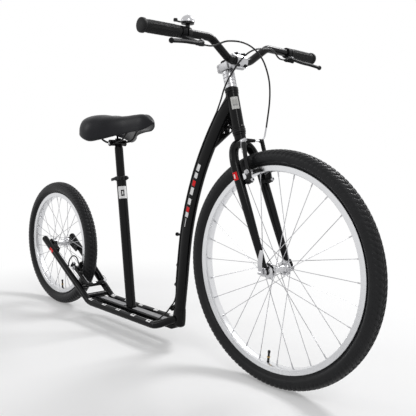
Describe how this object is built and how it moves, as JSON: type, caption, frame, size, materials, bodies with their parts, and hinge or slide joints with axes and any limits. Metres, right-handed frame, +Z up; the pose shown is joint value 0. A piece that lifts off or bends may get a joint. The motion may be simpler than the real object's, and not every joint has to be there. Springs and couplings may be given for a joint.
{
  "type": "kick bike",
  "caption": "Black kick bike: large front and small rear spoked wheel, low step-through deck of one beam and two side tubes, swan-neck frame, saddle, flat bar with brake levers, rim brakes.",
  "frame": {"origin": "ground level in the middle of the length: centre of the bottom face of the bounding box, in the wheels' middle plane", "axes": "+X forward (direction of travel), +Y to the rider's left, +Z up"},
  "size_m": [1.756, 0.7002, 1.0034],
  "materials": {
    "black_paint": "gloss black paint",
    "black_plastic": "fine grained black plastic",
    "rubber": "matt black rubber",
    "tyre_rubber": "treaded black tyre rubber",
    "polished_steel": "polished",
    "polished_alloy": "polished",
    "brushed_alloy": "satin brushed",
    "black_alloy": "black anodised",
    "black_steel": "black coated steel",
    "saddle_cover": "smooth synthetic leather over foam",
    "grip_tape": "grey abrasive grip tape"
  },
  "bodies": {
    "frame": {"head_tube": "black_paint", "main_tube": "black_paint", "seat_tube": "black_paint", "deck_beam": "black_paint", "side_tube_left": "black_paint", "side_tube_right": "black_paint", "stay_bridge": "black_paint", "deck_grip_front": "grip_tape", "deck_grip_rear": "grip_tape", "headset_cup_upper": "black_alloy", "headset_cup_lower": "black_alloy", "seat_collar": "black_alloy", "rear_axle": "polished_steel", "rear_brake_cable": "black_plastic", "rear_brake_cable_upper": "black_plastic"},
    "steering": {"fork_steerer": "black_paint", "fork_leg_left": "black_paint", "fork_leg_right": "black_paint", "headset_spacers": "polished_alloy", "stem": "brushed_alloy", "stem_faceplate": "brushed_alloy", "stem_top_cap": "black_alloy", "handlebar": "black_paint", "grip_left": "rubber", "grip_right": "rubber", "lever_bracket_left": "black_alloy", "lever_bracket_right": "black_alloy", "front_axle": "polished_steel", "front_brake_cable": "black_plastic", "bell_base": "black_plastic", "bell_dome": "polished_steel"},
    "front_wheel": {"front_tyre": "tyre_rubber", "front_inner_tube": "rubber", "front_rim": "brushed_alloy", "front_hub": "polished_alloy", "front_spokes_left": "polished_steel", "front_spokes_right": "polished_steel"},
    "rear_wheel": {"rear_tyre": "tyre_rubber", "rear_inner_tube": "rubber", "rear_rim": "brushed_alloy", "rear_hub": "polished_alloy", "rear_spokes_left": "polished_steel", "rear_spokes_right": "polished_steel"},
    "seat": {"seatpost": "black_paint", "saddle_clamp": "black_alloy", "saddle_rails": "black_steel", "saddle": "saddle_cover"},
    "left_lever": {"brake_lever_left": "black_alloy"},
    "right_lever": {"brake_lever_right": "black_alloy"},
    "front_arm_left": {"front_brake_arm_left": "black_alloy", "front_brake_pad_left": "rubber"},
    "front_arm_right": {"front_brake_arm_right": "black_alloy", "front_brake_pad_right": "rubber"},
    "rear_arm_left": {"rear_brake_arm_left": "black_alloy", "rear_brake_pad_left": "rubber"},
    "rear_arm_right": {"rear_brake_arm_right": "black_alloy", "rear_brake_pad_right": "rubber"},
    "axle_release": {"front_axle_lever": "polished_steel"},
    "seat_release": {"seat_collar_lever": "black_alloy"},
    "bell_thumb": {"bell_striker": "black_plastic"}
  },
  "joints": [
    {"name": "steering_turn", "type": "hinge", "parent": "frame", "child": "steering", "pos_m": [0.37349, 0, 0.76807], "axis": [-0.2756, 0, 0.9613], "range_deg": [-70, 70], "deforming": ["rear_brake_cable_upper"]},
    {"name": "front_wheel_spin", "type": "hinge", "parent": "steering", "child": "front_wheel", "pos_m": [0.548, 0, 0.33], "axis": [0, 1, 0], "continuous": true},
    {"name": "rear_wheel_spin", "type": "hinge", "parent": "frame", "child": "rear_wheel", "pos_m": [-0.624, 0, 0.254], "axis": [0, 1, 0], "continuous": true},
    {"name": "seat_height", "type": "slide", "parent": "frame", "child": "seat", "axis": [-0.1444, 0, 0.9895], "range_m": [-0.08, 0.1]},
    {"name": "left_lever_pull", "type": "hinge", "parent": "steering", "child": "left_lever", "pos_m": [0.42491, 0.18517, 0.9312], "axis": [0.5295, 0.0259, 0.8479], "range_deg": [0, 22], "stiffness_Nm_per_rad": 0.4},
    {"name": "right_lever_pull", "type": "hinge", "parent": "steering", "child": "right_lever", "pos_m": [0.42491, -0.18517, 0.9312], "axis": [-0.5295, 0.0259, -0.8479], "range_deg": [0, 22], "stiffness_Nm_per_rad": 0.4},
    {"name": "front_arm_left_pivot", "type": "hinge", "parent": "steering", "child": "front_arm_left", "pos_m": [0.47826, 0.042, 0.5732], "axis": [0.9613, 0, 0.2756], "range_deg": [0, 3.4], "deforming": ["front_brake_cable"]},
    {"name": "front_arm_right_pivot", "type": "hinge", "parent": "steering", "child": "front_arm_right", "pos_m": [0.47826, -0.042, 0.5732], "axis": [-0.9613, 0, -0.2756], "range_deg": [0, 3.4]},
    {"name": "rear_arm_left_pivot", "type": "hinge", "parent": "frame", "child": "rear_arm_left", "pos_m": [-0.47365, 0.042, 0.15872], "axis": [-0.5353, 0, -0.8447], "range_deg": [0, 3.4]},
    {"name": "rear_arm_right_pivot", "type": "hinge", "parent": "frame", "child": "rear_arm_right", "pos_m": [-0.47365, -0.042, 0.15872], "axis": [0.5353, 0, 0.8447], "range_deg": [0, 3.4], "deforming": ["rear_brake_cable"]},
    {"name": "front_axle_release", "type": "hinge", "parent": "steering", "child": "axle_release", "pos_m": [0.548, -0.0687, 0.33], "axis": [1, 0, 0], "range_deg": [0, 170]},
    {"name": "seat_collar_release", "type": "hinge", "parent": "frame", "child": "seat_release", "pos_m": [-0.17009, -0.02285, 0.54721], "axis": [-0.1444, 0, 0.9895], "range_deg": [0, 150]},
    {"name": "bell_thumb_press", "type": "hinge", "parent": "steering", "child": "bell_thumb", "pos_m": [0.38227, -0.21695, 0.98205], "axis": [0.9994, -0.0335, -0.0002], "range_deg": [0, 12], "stiffness_Nm_per_rad": 0.15}
  ],
  "couplings": [
    {"joint": "front_arm_left_pivot", "follows": "right_lever_pull", "ratio": 0.1545},
    {"joint": "front_arm_right_pivot", "follows": "right_lever_pull", "ratio": 0.1545},
    {"joint": "rear_arm_left_pivot", "follows": "left_lever_pull", "ratio": 0.1545},
    {"joint": "rear_arm_right_pivot", "follows": "left_lever_pull", "ratio": 0.1545}
  ]
}
